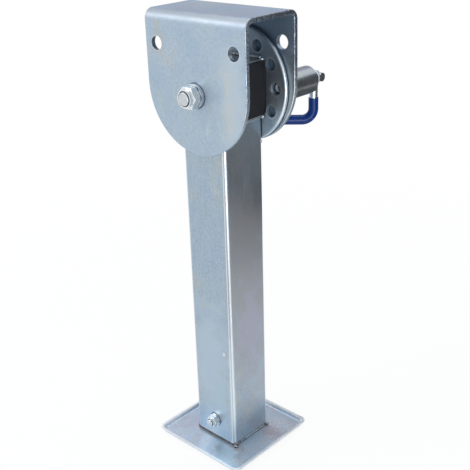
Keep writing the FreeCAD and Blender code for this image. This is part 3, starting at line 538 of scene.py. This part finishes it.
legSpots = [
    # painted dark reflection on the middle of the leg's +X side
    {"at": (0.030, 0.0, 0.210), "spread": (0.006, 0.060, 0.170), "ragged": 0.3, "grain": 0.03,
     "tone": (0.345, 0.360, 0.39, 1), "share": 0.85},
    # painted light on the lower front of the leg, where it reflects the floor
    {"at": (-0.002, -0.030, 0.100), "spread": (0.040, 0.006, 0.100), "ragged": 0.4, "grain": 0.03,
     "tone": (0.43, 0.53, 0.63, 1), "share": 0.8},
    # painted highlight low on the leg's near corner
    {"at": (0.0296, -0.0296, 0.060), "spread": (0.0055, 0.0055, 0.110), "ragged": 0.25, "grain": 0.02,
     "tone": (0.58, 0.69, 0.77, 1), "share": 0.55},
    {"at": (0.0190, -0.030, 0.1265), "spread": (0.0046, 0.004, 0.0048), "ragged": 0.6, "grain": 0.002,
     "tone": (0.36, 0.28, 0.24, 1), "share": 0.40},
    {"at": (0.0182, -0.030, 0.1262), "spread": (0.0028, 0.004, 0.0030), "ragged": 0.5, "grain": 0.0012,
     "tone": (0.74, 0.76, 0.76, 1), "share": 0.9},
    {"at": (0.030, 0.004, 0.150), "spread": (0.02, 0.022, 0.07), "ragged": 0.8, "grain": 0.018,
     "tone": (0.40, 0.41, 0.53, 1), "share": 0.5},
    {"at": (0.006, -0.030, 0.062), "spread": (0.016, 0.01, 0.03), "ragged": 0.8, "grain": 0.010,
     "tone": (0.38, 0.52, 0.60, 1), "share": 0.5},
]
# painted light on the +X side of the dark foot weld
seamLitSpots = [
    {"at": (0.0316, 0.002, 0.004), "spread": (0.005, 0.026, 0.010), "ragged": 0.6, "grain": 0.004,
     "tone": (0.50, 0.57, 0.63, 1), "share": 0.75},
]
discSpots = [
    # painted reflection: a bright patch on the disc right of the pin
    {"at": (0.052, 0.029, 0.418), "spread": (0.013, 0.02, 0.034), "ragged": 0.3, "grain": 0.01,
     "tone": (0.80, 0.88, 0.92, 1), "share": 0.55},
]
footSpots = [
    {"at": (0.048, 0.022, 0.003), "spread": (0.018, 0.013, 0.008), "ragged": 0.9, "grain": 0.0035,
     "tone": (0.46, 0.40, 0.45, 1), "share": 0.65},
    # painted highlight along the top of the foot plate's rim
    {"at": (0, 0, 0.0070), "spread": (0.30, 0.30, 0.0022), "ragged": 0.3, "grain": 0.008,
     "tone": (0.84, 0.89, 0.93, 1), "share": 0.85},
    # painted highlights on three rim corners
    {"at": (0.0630, -0.0630, 0.0050), "spread": (0.007, 0.007, 0.004), "ragged": 0.3, "grain": 0.002,
     "tone": (0.90, 0.93, 0.95, 1), "share": 0.9},
    {"at": (0.0630, 0.0630, 0.0050), "spread": (0.007, 0.007, 0.004), "ragged": 0.3, "grain": 0.002,
     "tone": (0.90, 0.93, 0.95, 1), "share": 0.9},
    {"at": (-0.0630, -0.0630, 0.0050), "spread": (0.007, 0.007, 0.004), "ragged": 0.3, "grain": 0.002,
     "tone": (0.90, 0.93, 0.95, 1), "share": 0.9},
    {"at": (0.034, -0.030, 0.003), "spread": (0.014, 0.007, 0.008), "ragged": 0.8, "grain": 0.004,
     "tone": (0.52, 0.44, 0.46, 1), "share": 0.6},
    # painted shade on the plate in front of the leg
    {"at": (0.030, -0.046, 0.003), "spread": (0.024, 0.014, 0.008), "ragged": 0.6, "grain": 0.010,
     "tone": (0.36, 0.47, 0.54, 1), "share": 0.6},
    {"at": (-0.040, -0.020, 0.003), "spread": (0.020, 0.026, 0.008), "ragged": 0.7, "grain": 0.012,
     "tone": (0.50, 0.55, 0.66, 1), "share": 0.6},
]
finishes = {
    "bracketZinc": {"spots": bracketSpots, "insideShare": 0.7,
                    "rings": [washerRing("pivot_washers", 0.0008, 0.8)]},
    "tubeZinc": {"base": (0.350, 0.440, 0.515, 1), "cool": (0.330, 0.430, 0.545, 1), "spots": legSpots,
                 "warm": (0.41, 0.455, 0.470, 1), "stain": (0.45, 0.48, 0.47, 1), "mottle": 0.6,
                 "stretch": (1, 1, 0.07), "rough": 0.34, "patch": 0.05,
                 "rings": [washerRing("foot_washers", 0.0007, 0.8)],
                 "bump": 0.28, "wearAndHighlightTone": (0.85, 0.87, 0.88, 1), "tubeCornerHighlight": 0.72,
                 "wipeShare": 0.28, "wipe": 0.0025},
    "headZinc": {"base": (0.30, 0.36, 0.42, 1), "stretch": (0.07, 1, 1), "rough": 0.34, "edge": 0.0016},
    "discZinc": {"base": (0.54, 0.61, 0.67, 1), "cool": (0.44, 0.55, 0.64, 1), "rough": 0.42,
                 "edge": 0.0050, "edgeBroken": 0.15, "insideShare": 0.45, "spots": discSpots},
    "footZinc": {"base": (0.58, 0.67, 0.76, 1), "cool": (0.49, 0.62, 0.75, 1),
                 "warm": (0.66, 0.68, 0.73, 1), "stain": (0.54, 0.50, 0.56, 1), "patch": 0.022,
                 "patchAmount": 0.9, "dents": 0.45, "bump": 0.22, "mottle": 0.5, "spots": footSpots,
                 "edge": 0.0028},
    "housingZinc": {"base": (0.48, 0.51, 0.54, 1), "rough": 0.30, "stretch": (1, 0.3, 1), "mottle": 0.4},
    "boltZinc": {"base": (0.58, 0.63, 0.68, 1), "cool": (0.50, 0.57, 0.65, 1),
                 "warm": (0.62, 0.62, 0.58, 1), "rough": 0.24, "patch": 0.008, "grain": 0.0006,
                 "edge": 0.0006, "dents": 0.1, "wearAndHighlightTone": (0.90, 0.92, 0.94, 1),
                 "creviceReach": 0.0016},
    "nutZinc": {"base": (0.76, 0.80, 0.83, 1), "cool": (0.66, 0.73, 0.78, 1),
                "warm": (0.78, 0.78, 0.75, 1), "rough": 0.24, "patch": 0.008, "grain": 0.0006,
                "edge": 0.0006, "dents": 0.1, "wearAndHighlightTone": (0.94, 0.95, 0.96, 1), "creviceReach": 0.0016},
    "weldZinc": {"base": (0.46, 0.50, 0.54, 1), "cool": (0.34, 0.40, 0.46, 1),
                 "warm": (0.52, 0.50, 0.48, 1), "rough": 0.42, "patch": 0.006, "grain": 0.0012,
                 "dents": 0.1, "bump": 0.5, "depth": 0.0005, "edgeShare": 0.3},
    # painted shade: a dark copy of the weld finish for the shadow gap under the leg's bottom edge
    "footWeldShaded": {"base": (0.20, 0.22, 0.25, 1), "cool": (0.10, 0.12, 0.15, 1),
                 "warm": (0.30, 0.27, 0.25, 1), "rough": 0.42, "patch": 0.005, "patchAmount": 1.0,
                 "grain": 0.0012, "dents": 0.1, "bump": 0.5, "depth": 0.0005, "edgeShare": 0.5,
                 "spots": seamLitSpots},
    "pinSteel": {"base": (0.52, 0.54, 0.56, 1), "cool": (0.46, 0.50, 0.55, 1),
                 "warm": (0.54, 0.52, 0.49, 1), "rough": 0.22, "patch": 0.01, "grain": 0.0008,
                 "stretch": (1, 0.2, 1), "edge": 0.0006},
    "springWire": {"base": (0.26, 0.27, 0.29, 1), "cool": (0.21, 0.23, 0.26, 1),
                   "warm": (0.30, 0.28, 0.25, 1), "rough": 0.35, "patch": 0.01, "grain": 0.0008,
                   "edge": 0.0003},
}
materials = {}
for name, changes in finishes.items():
    materials[name] = makePlated(name, {**zincValues, **changes})


def makePlastic(name, values):
    material, tree, shader = newMaterial(name)
    shader.inputs["Metallic"].default_value = 0
    shader.inputs["Specular IOR Level"].default_value = values["specular"]
    shader.inputs["Coat Weight"].default_value = values["coat"]
    shader.inputs["Coat Roughness"].default_value = values["coatRough"]
    where = addNode(tree, "ShaderNodeTexCoord", -1100, 0).outputs["Object"]
    tone = placeGroup(tree, clouds, -700, 250, Vector=where, Base=values["base"], Cool=values["cool"],
                      Warm=values["warm"], Stain=values["stain"], Size=values["patch"],
                      Amount=values["patchAmount"], Mottle=values["mottle"])
    tooth = placeGroup(tree, grain, -700, -50, Vector=where, Size=values["grain"], Dents=values["dents"])
    rubAndHighlight = placeGroup(tree, edgeRubAndHighlight, -700, -300, Vector=where, Reach=values["edge"],
                     Broken=values["edgeBroken"])
    # painted highlight on rounded edges, partly rubbed wear
    edge = addMath(tree, "MULTIPLY", -400, -300, rubAndHighlight["Mask"], values["edgeShare"])
    color = addMix(tree, 100, 250, edge, tone["Color"], values["wearAndHighlightTone"])
    closeShader(tree, shader, color, addRough(tree, tooth["Mask"], values), tooth["Height"], values)
    return material


plasticValues = {
    "patchAmount": 0.5, "mottle": 0.35, "dents": 0.2, "edge": 0.0006, "edgeBroken": 0.6, "edgeShare": 0.2,
    "roughSpread": 0.05, "coat": 0, "coatRough": 0.1,
}
plastics = {
    "gripBlue": {"base": (0.002, 0.033, 0.200, 1), "cool": (0.002, 0.023, 0.15, 1),
                 "warm": (0.004, 0.046, 0.25, 1), "stain": (0.006, 0.06, 0.31, 1), "patch": 0.012,
                 "grain": 0.002, "dents": 0.6, "rough": 0.34, "roughSpread": 0.06, "bump": 0.10,
                 "depth": 0.0005, "coat": 0.24, "coatRough": 0.14, "specular": 0.08,
                 "wearAndHighlightTone": (0.08, 0.12, 0.34, 1)},
    "plugBlack": {"base": (0.012, 0.012, 0.016, 1), "cool": (0.013, 0.016, 0.022, 1),
                  "warm": (0.020, 0.014, 0.018, 1), "stain": (0.012, 0.018, 0.018, 1), "patch": 0.015,
                  "patchAmount": 0.7, "grain": 0.0012, "rough": 0.62, "roughSpread": 0.08,
                  "bump": 0.25, "depth": 0.0003, "specular": 0.3, "edgeShare": 0.25,
                  "wearAndHighlightTone": (0.06, 0.06, 0.07, 1)},
    "ringNylon": {"base": (0.05, 0.06, 0.09, 1), "cool": (0.04, 0.05, 0.09, 1),
                  "warm": (0.06, 0.06, 0.08, 1), "stain": (0.05, 0.05, 0.06, 1), "patch": 0.004,
                  "grain": 0.0006, "rough": 0.45, "bump": 0.1, "depth": 0.0002, "specular": 0.4,
                  "wearAndHighlightTone": (0.12, 0.14, 0.18, 1)},
}
for name, changes in plastics.items():
    materials[name] = makePlastic(name, {**plasticValues, **changes})
print("finishes made:", len(materials))

nodeFinish = {
    "mounting_bracket": "bracketZinc", "pivot_bolt": "boltZinc", "pivot_lock_nut": "nutZinc",
    "pivot_nut_ring": "ringNylon", "pivot_washers": "boltZinc", "pin_housing": "housingZinc",
    "housing_weld": "weldZinc", "housing_bush": "plugBlack", "pin_spring": "springWire",
    "spring_seat": "pinSteel", "index_pin": "pinSteel", "pull_handle": "boltZinc",
    "handle_grip": "gripBlue", "handle_weld": "weldZinc", "leg_tube": "tubeZinc",
    "head_tube": "headZinc", "head_plugs": "plugBlack", "pivot_sleeve": "pinSteel",
    "head_weld": "weldZinc", "index_disc": "discZinc", "disc_weld": "weldZinc",
    "foot_plate": "footZinc", "foot_spigot": "tubeZinc", "foot_weld": "weldZinc",
    "foot_bolt": "boltZinc", "foot_lock_nut": "nutZinc", "foot_nut_ring": "ringNylon",
    "foot_washers": "boltZinc",
}
for name, finish in nodeFinish.items():
    mesh = nodes[name].data
    mesh.materials.clear()
    mesh.materials.append(materials[finish])
deselectAll()


# Weld beads, each drawn out station by station along its seam
def lerp(first, last, share):
    return first + (last - first) * share


def ringStations(centre, radius, axis, steps, start, sweep):
    # places round a ring about Y or Z, with the way the bead runs at each
    made = []
    for step in range(steps + 1):
        angle = math.radians(start + sweep * step / steps)
        across, up = math.cos(angle), math.sin(angle)
        if axis == "Y":
            out, along = Vector((across, 0, up)), Vector((-up, 0, across))
        else:
            out, along = Vector((across, up, 0)), Vector((-up, across, 0))
        made.append((Vector(centre) + out * radius, along))
    return made


def lineStations(start, end, steps):
    start, end = Vector(start), Vector(end)
    along = (end - start).normalized()
    return [(lerp(start, end, step / steps), along) for step in range(steps + 1)]


def squareStations(halfX, halfY, round, height, pace, arcSteps, overlap):
    # once round a square with round corners, from the middle of the -Y side
    made = []
    corners = [(1, -1, -90), (1, 1, 0), (-1, 1, 90), (-1, -1, 180)]    # side in X and Y, start of its arc
    ends = [Vector((0, -halfY, height))]
    for signX, signY, turn in corners:
        middle = Vector((signX * (halfX - round), signY * (halfY - round), height))
        arc = ringStations(middle, round, "Z", arcSteps, turn, 90)
        steps = max(2, int((arc[0][0] - ends[-1]).length / pace))
        made += lineStations(ends[-1], arc[0][0], steps)[:-1]
        made += arc[:-1]
        ends.append(arc[-1][0])
    made += lineStations(ends[-1], ends[0] + Vector((overlap, 0, 0)), max(2, int(halfX / pace)))
    return made


beadValues = {
    "sides": 10, "radius": 0.002, "axis": "Y",    # the axis that the seam turns about
    "tip": 0.7,                                   # share of the radius at both ends
    "ripple": 0.30, "beat": 4,                    # stations from one ripple to the next
    "sway": 0.14, "swayPace": (0.37, 0.11), "seed": 0,
    "leastTurn": 0.0001, "smooth": 70,
}


def layBead(name, stations, changes):
    # one section drawn along the seam; it swells and shrinks at each ripple
    values = {**beadValues, **changes}
    deselectAll()
    place, along = stations[0]
    bpy.ops.mesh.primitive_circle_add(
        vertices=values["sides"], radius=values["radius"], fill_type="NGON", location=place,
        rotation=along.to_track_quat("Z", "Y").to_euler(),
    )
    bead = bpy.context.object
    bpy.ops.object.mode_set(mode="EDIT")
    bpy.ops.mesh.select_all(action="SELECT")
    size = values["tip"]
    bpy.ops.transform.resize(value=(size, size, size), center_override=place)
    last = len(stations) - 1
    fast, slow = values["swayPace"]
    for count, (nextPlace, nextAlong) in enumerate(stations[1:], start=1):
        bpy.ops.mesh.extrude_region_move(TRANSFORM_OT_translate={"value": nextPlace - place})
        turn, angle = along.rotation_difference(nextAlong).to_axis_angle()
        if angle > values["leastTurn"]:
            bpy.ops.transform.rotate(
                value=-angle * (turn.y + turn.z), orient_axis=values["axis"], center_override=nextPlace,
            )
        ripple = values["ripple"] * (1 - (count % values["beat"]) / (values["beat"] - 1))
        sway = values["sway"] * math.sin(count * fast + values["seed"]) * math.sin(count * slow)
        wanted = values["tip"] if count == last else 1 + ripple + sway
        share = wanted / size
        bpy.ops.transform.resize(value=(share, share, share), center_override=nextPlace)
        size, place, along = wanted, nextPlace, nextAlong
    bpy.ops.object.mode_set(mode="OBJECT")
    smoother = bead.modifiers.new("soft", "SUBSURF")
    smoother.levels = 1
    smoother.render_levels = 1
    pick(bead)
    bpy.ops.object.modifier_apply(modifier=smoother.name)
    return settle(bead, name, values["smooth"])


lumpValues = {"cuts": 3, "push": 0.22, "soften": 0.6, "rounds": 3, "smooth": 80}


def dropLump(name, place, size, seed):
    # a blob of weld metal, pushed out of round and sunk a little in what it sits on
    deselectAll()
    bpy.ops.mesh.primitive_ico_sphere_add(subdivisions=lumpValues["cuts"], radius=1, location=place)
    lump = bpy.context.object
    lump.scale = size
    bpy.ops.object.mode_set(mode="EDIT")
    bpy.ops.mesh.select_all(action="SELECT")
    bpy.ops.transform.vertex_random(offset=lumpValues["push"], uniform=0.0, normal=0.0, seed=seed)
    bpy.ops.mesh.vertices_smooth(factor=lumpValues["soften"], repeat=lumpValues["rounds"])
    bpy.ops.object.mode_set(mode="OBJECT")
    return settle(lump, name, lumpValues["smooth"])


def dressPiece(piece, finish, body, slot, *replaced):
    piece.data.materials.clear()
    piece.data.materials.append(materials[finish])
    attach(piece, body)
    if replaced:
        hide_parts(*replaced)


def roundSeam(box, values):
    # stations round the middle line along Y of a plain bead's box, a little way in from its near end
    low, high = box
    centre = ((low[0] + high[0]) / 2, low[1] + values["inset"], (low[2] + high[2]) / 2)
    stations = ringStations(centre, values["ring"], "Y", values["steps"], values["start"], values["sweep"])
    return centre, stations


housingSeam = {"ring": 0.0163, "inset": 0.0012, "steps": 120, "start": 140, "sweep": 366, "radius": 0.0024}
centre, stations = roundSeam(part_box("housing_weld"), housingSeam)
bead = layBead("housing_bead", stations, {"radius": housingSeam["radius"], "seed": 1.0})
dressPiece(bead, "weldZinc", "bracket", "zinc_weld", "housing_weld")

footSeam = {"halfX": 0.0290, "halfY": 0.0272, "round": 0.003, "height": 0.0044, "pace": 0.0011,
            "arcSteps": 3, "overlap": 0.003}
footBead = {"radius": 0.0019, "ripple": 0.2, "sway": 0.16, "axis": "Z", "seed": 2.0}
footLumps = [    # name, place, size, seed
    ("corner_lump", (0.0316, -0.0296, 0.0046), (0.0030, 0.0024, 0.0019), 5),
    ("back_lump", (0.0312, 0.0285, 0.0044), (0.0024, 0.0022, 0.0017), 9),
    ("left_lump", (-0.0300, -0.0280, 0.0043), (0.0024, 0.0018, 0.0015), 13),
]
bead = layBead("foot_bead", squareStations(**footSeam), footBead)
footPieces = [bead] + [dropLump(*lump) for lump in footLumps]
dressPiece(joinAll(footPieces, "foot_bead"), "footWeldShaded", "leg", "zinc_weld", "foot_weld")

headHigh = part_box("head_weld")[1]
headSeam = {"inset": 0.0014, "drop": 0.0012, "reach": 0.0262, "steps": 48, "radius": 0.0015, "seed": 3.0}
underHead = []
for side, name in ((1, "head_bead_right"), (-1, "head_bead_left")):
    x = side * (headHigh[0] - headSeam["inset"])
    z = headHigh[2] - headSeam["drop"]
    seam = lineStations((x, -headSeam["reach"], z), (x, headSeam["reach"], z), headSeam["steps"])
    underHead.append(layBead(name, seam, {"radius": headSeam["radius"], "seed": headSeam["seed"] + side}))
dressPiece(joinAll(underHead, "head_bead"), "weldZinc", "leg", "zinc_weld", "head_weld")

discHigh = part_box("disc_weld")[1]
discSeam = {"inset": 0.0012, "headTop": 0.458, "lift": 0.0010, "reach": 0.0310, "steps": 56,
            "radius": 0.0021, "seed": 5.0}
discTacks = [    # name, place, size, seed
    ("top_tack", (0.0322, 0.0288, 0.4575), (0.0024, 0.0020, 0.0020), 21),
    ("low_tack", (0.0318, 0.0288, 0.3966), (0.0022, 0.0020, 0.0024), 22),
    ("leg_tack", (0.0290, 0.0286, 0.3690), (0.0014, 0.0016, 0.0020), 23),
]
y = discHigh[1] - discSeam["inset"]
z = discSeam["headTop"] + discSeam["lift"]
seam = lineStations((-discSeam["reach"], y, z), (discSeam["reach"], y, z), discSeam["steps"])
bead = layBead("disc_bead", seam, {"radius": discSeam["radius"], "seed": discSeam["seed"]})
discPieces = [bead] + [dropLump(*tack) for tack in discTacks]
dressPiece(joinAll(discPieces, "disc_bead"), "weldZinc", "leg", "zinc_weld", "disc_weld")

handleSeam = {"ring": 0.0050, "inset": 0.0008, "steps": 40, "start": 95, "sweep": 370, "radius": 0.0015,
              "crown": (-0.0012, 0.0030, 0.0050), "crownSize": (0.0034, 0.0034, 0.0019)}
centre, stations = roundSeam(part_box("handle_weld"), handleSeam)
bead = layBead("handle_bead", stations, {"radius": handleSeam["radius"], "seed": 6.0})
crownPlace = [middle + shift for middle, shift in zip(centre, handleSeam["crown"])]
crown = dropLump("handle_crown", crownPlace, handleSeam["crownSize"], 31)
dressPiece(joinAll([bead, crown], "handle_bead"), "weldZinc", "index_pin", "zinc_weld", "handle_weld")

# Beads of spatter that the weld left on the foot, plated over
spatterValues = {
    "places": [(0.0410, 0.0120), (0.0372, -0.0180), (0.0475, -0.0040), (0.0520, 0.0240),
               (0.0180, -0.0372), (-0.0410, 0.0200), (0.0330, 0.0405), (0.0060, -0.0345),
               (0.0445, 0.0300), (-0.0360, -0.0240)],
    "radii": [0.0007, 0.0005, 0.0009, 0.0006, 0.0006],
    "floor": 0.0030,
    "raised": 0.3,      # share of the radius that its middle stands over the plate
    "shape": (1, 1.2, 0.8),
    "firstSeed": 40,
}
spatter = []
for count, (x, y) in enumerate(spatterValues["places"]):
    radius = spatterValues["radii"][count % len(spatterValues["radii"])]
    z = spatterValues["floor"] + radius * spatterValues["raised"]
    size = [radius * share for share in spatterValues["shape"]]
    spatter.append(dropLump("spatter", (x, y, z), size, spatterValues["firstSeed"] + count))
dressPiece(joinAll(spatter, "foot_spatter"), "weldZinc", "leg", "zinc_weld")
print("weld beads laid")


# The studio is a pale floor and a white surround, with soft lamps and dark cards that only gloss sees
studioValues = {
    "surround": (0.80, 0.84, 0.88, 1), "surroundStrength": 0.75, "white": (1, 1, 1, 1),
    "floorRadius": 6, "floorSides": 96, "floorTone": (0.94, 0.94, 0.94, 1),
    "floorLift": 0.90, "fadeStart": 0.4, "fadeEnd": 1.2,    # how white it is, and where it gets all white
}


def addSeen(tree, x, y):
    # 1 for the camera and for what gloss or glass shows of the background
    rays = addNode(tree, "ShaderNodeLightPath", x, y).outputs
    seen = addMath(tree, "MAXIMUM", x + 200, y, rays["Is Camera Ray"], rays["Is Glossy Ray"])
    return addMath(tree, "MAXIMUM", x + 400, y, seen, rays["Is Transmission Ray"])


def makeSurround(values):
    world = bpy.data.worlds.new("softSurround")
    bpy.context.scene.world = world
    tree = emptyTree(world)
    output = addNode(tree, "ShaderNodeOutputWorld", 600, 0)
    soft = addNode(tree, "ShaderNodeBackground", 0, 100)
    soft.inputs["Color"].default_value = values["surround"]
    soft.inputs["Strength"].default_value = values["surroundStrength"]
    white = addNode(tree, "ShaderNodeBackground", 0, -100)
    white.inputs["Color"].default_value = values["white"]
    mix = addShaderMix(tree, 300, 0, addSeen(tree, -600, 300), soft.outputs[0], white.outputs[0])
    tree.links.new(mix, output.inputs[0])


def makeFloor(values):
    deselectAll()
    bpy.ops.mesh.primitive_circle_add(vertices=values["floorSides"], radius=values["floorRadius"],
                                      fill_type="NGON", location=(0, 0, 0))
    floor = bpy.context.object
    floor.name = "studioFloor"
    material = bpy.data.materials.new("floorPale")
    tree = emptyTree(material)
    output = addNode(tree, "ShaderNodeOutputMaterial", 900, 0)
    matt = addNode(tree, "ShaderNodeBsdfDiffuse", 0, 100)
    matt.inputs["Color"].default_value = values["floorTone"]
    glow = addNode(tree, "ShaderNodeEmission", 0, -100)
    glow.inputs["Color"].default_value = values["white"]
    place = addNode(tree, "ShaderNodeTexCoord", -600, 500).outputs["Object"]
    away = addVector(tree, "LENGTH", -400, 500, place)
    lift = addRange(tree, -200, 500, away, values["fadeStart"], values["fadeEnd"], values["floorLift"], 1)
    share = addMath(tree, "MULTIPLY", 0, 300, addSeen(tree, -600, 300), lift)
    top = addShaderMix(tree, 300, 0, share, matt.outputs[0], glow.outputs[0])
    # nothing shows of it from below
    clear = addNode(tree, "ShaderNodeBsdfTransparent", 300, -200)
    under = addNode(tree, "ShaderNodeNewGeometry", 300, 300).outputs["Backfacing"]
    tree.links.new(addShaderMix(tree, 600, 0, under, top, clear.outputs[0]), output.inputs[0])
    floor.data.materials.append(material)


def addLamp(name, place, target, width, height, power, tone):
    deselectAll()
    bpy.ops.object.light_add(type="AREA", location=place)
    lamp = bpy.context.object
    lamp.name = name
    aim = (Vector(target) - Vector(place)).to_track_quat("-Z", "Y")
    lamp.rotation_euler = aim.to_euler()
    lamp.data.shape = "RECTANGLE"
    lamp.data.size = width
    lamp.data.size_y = height
    lamp.data.energy = power
    lamp.data.color = tone
    lamp.visible_camera = False


againTone = (0.6, 0.6, 0.62, 1)    # what a second reflection sees of a card
againDepth = 1.5                   # rays deeper than this are on their second reflection


def makeFlag(name, place, facing, width, height, tone):
    deselectAll()
    bpy.ops.mesh.primitive_plane_add(size=1, location=place)
    flag = bpy.context.object
    flag.name = name
    flag.scale = (width, height, 1)
    flag.rotation_euler = Vector(facing).to_track_quat("Z", "Y").to_euler()
    material = bpy.data.materials.new(name + "Cloth")
    tree = emptyTree(material)
    output = addNode(tree, "ShaderNodeOutputMaterial", 300, 0)
    glow = addNode(tree, "ShaderNodeEmission", 0, 0)
    depth = addNode(tree, "ShaderNodeLightPath", -600, 0).outputs["Ray Depth"]
    later = addMath(tree, "GREATER_THAN", -400, 0, depth, againDepth)
    tree.links.new(addMix(tree, -200, 0, later, tone, againTone), glow.inputs["Color"])
    tree.links.new(glow.outputs[0], output.inputs[0])
    flag.data.materials.append(material)
    flag.visible_camera = False
    flag.visible_diffuse = False
    flag.visible_shadow = False
    flag.visible_transmission = False


lamps = {    # place, target, width, height, power, tone
    "keyLamp": ((-0.9, -1.3, 1.5), (0, 0, 0.3), 1.2, 1.0, 11, (1, 1, 1)),
    "topLamp": ((-0.3, 0.3, 2.0), (0, 0, 0.3), 1.4, 1.4, 10, (0.96, 0.98, 1)),
    "sideLamp": ((1.8, -0.4, 0.7), (0, 0, 0.15), 0.8, 0.8, 3, (1, 0.98, 0.97)),
}
flags = {    # place, facing, width, height, tone
    "sideFlag": ((0.36, 0.34, 0.14), (-1, -1, 0), 0.9, 0.28, (0.40, 0.38, 0.37, 1)),
    "highFlag": ((0.36, 0.34, 0.480), (-1, -1, 0), 0.9, 0.40, (0.02, 0.02, 0.025, 1)),
    "glossCard": ((0.79, -0.41, 0.26), (-0.82, 0.57, 0.1), 0.30, 0.48, (8, 8.4, 9, 1)),
    "lowFlag": ((0.17, 0.45, 0.20), (0, 0, 1), 0.75, 0.52, (0.04, 0.04, 0.045, 1)),
    "backFlag": ((-0.75, 0.75, 1.10), (1, -1, -0.4), 1.3, 1.0, (0.36, 0.33, 0.42, 1)),
}
makeSurround(studioValues)
makeFloor(studioValues)
for name, settings in lamps.items():
    addLamp(name, *settings)
for name, settings in flags.items():
    makeFlag(name, *settings)
deselectAll()
print("studio ready")
